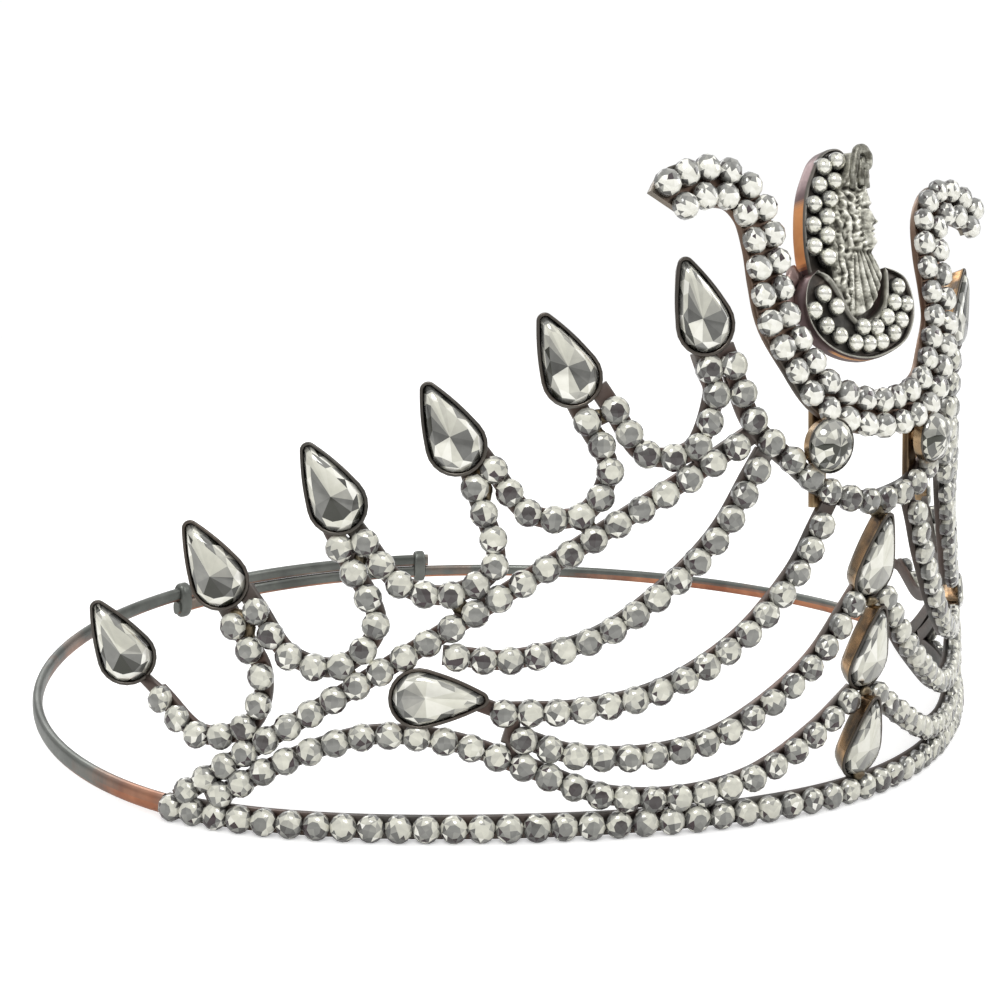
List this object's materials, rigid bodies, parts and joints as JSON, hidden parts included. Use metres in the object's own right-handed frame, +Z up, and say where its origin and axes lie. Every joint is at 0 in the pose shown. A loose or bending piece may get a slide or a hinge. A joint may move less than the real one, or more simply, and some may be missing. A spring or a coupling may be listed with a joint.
{
  "type": "fraternal regalia crown",
  "caption": "Rhinestone regalia crown: a swagged, stone-set front with teardrop points, a horned plate and a cast emblem, on an open ring.",
  "frame": {"origin": "on the surface it stands on, under the middle of its outline", "axes": "+Z up; the stone-set front faces -Y; +X is the right side as seen from the front (the wearer's left)"},
  "size_m": [0.1942, 0.1876, 0.1001],
  "materials": {
    "frame_metal": "dark gunmetal plating, worn to brown at the edges",
    "band_metal": "satin grey plating with copper-red faces",
    "cast_metal": "grey cast relief with dark patina and a copper edge",
    "small_stones": "faceted, foil-backed",
    "large_stones": "faceted, foil-backed"
  },
  "bodies": {
    "root": {"crown_frame": "frame_metal", "back_band_left": "band_metal", "back_band_right": "band_metal", "horn_plate": "frame_metal", "emblem_casting": "cast_metal", "base_stones": "small_stones", "centre_swag_stones": "small_stones", "horn_stones_left": "small_stones", "horn_stones_right": "small_stones", "diagonal_stones_left": "small_stones", "diagonal_stones_right": "small_stones", "inner_swag_stones_left": "small_stones", "inner_swag_stones_right": "small_stones", "tip_stone_left_1": "large_stones", "tip_stone_left_2": "large_stones", "tip_stone_left_3": "large_stones", "tip_stone_left_4": "large_stones", "tip_stone_left_5": "large_stones", "tip_stone_left_6": "large_stones", "tip_stone_right_1": "large_stones", "tip_stone_right_2": "large_stones", "tip_stone_right_3": "large_stones", "tip_stone_right_4": "large_stones", "tip_stone_right_5": "large_stones", "tip_stone_right_6": "large_stones", "side_stone_left": "large_stones", "side_stone_right": "large_stones", "post_stone_left": "large_stones", "post_stone_right": "large_stones", "drop_stone_top": "large_stones", "drop_stone_middle": "large_stones", "drop_stone_bottom": "large_stones"}
  },
  "joints": []
}
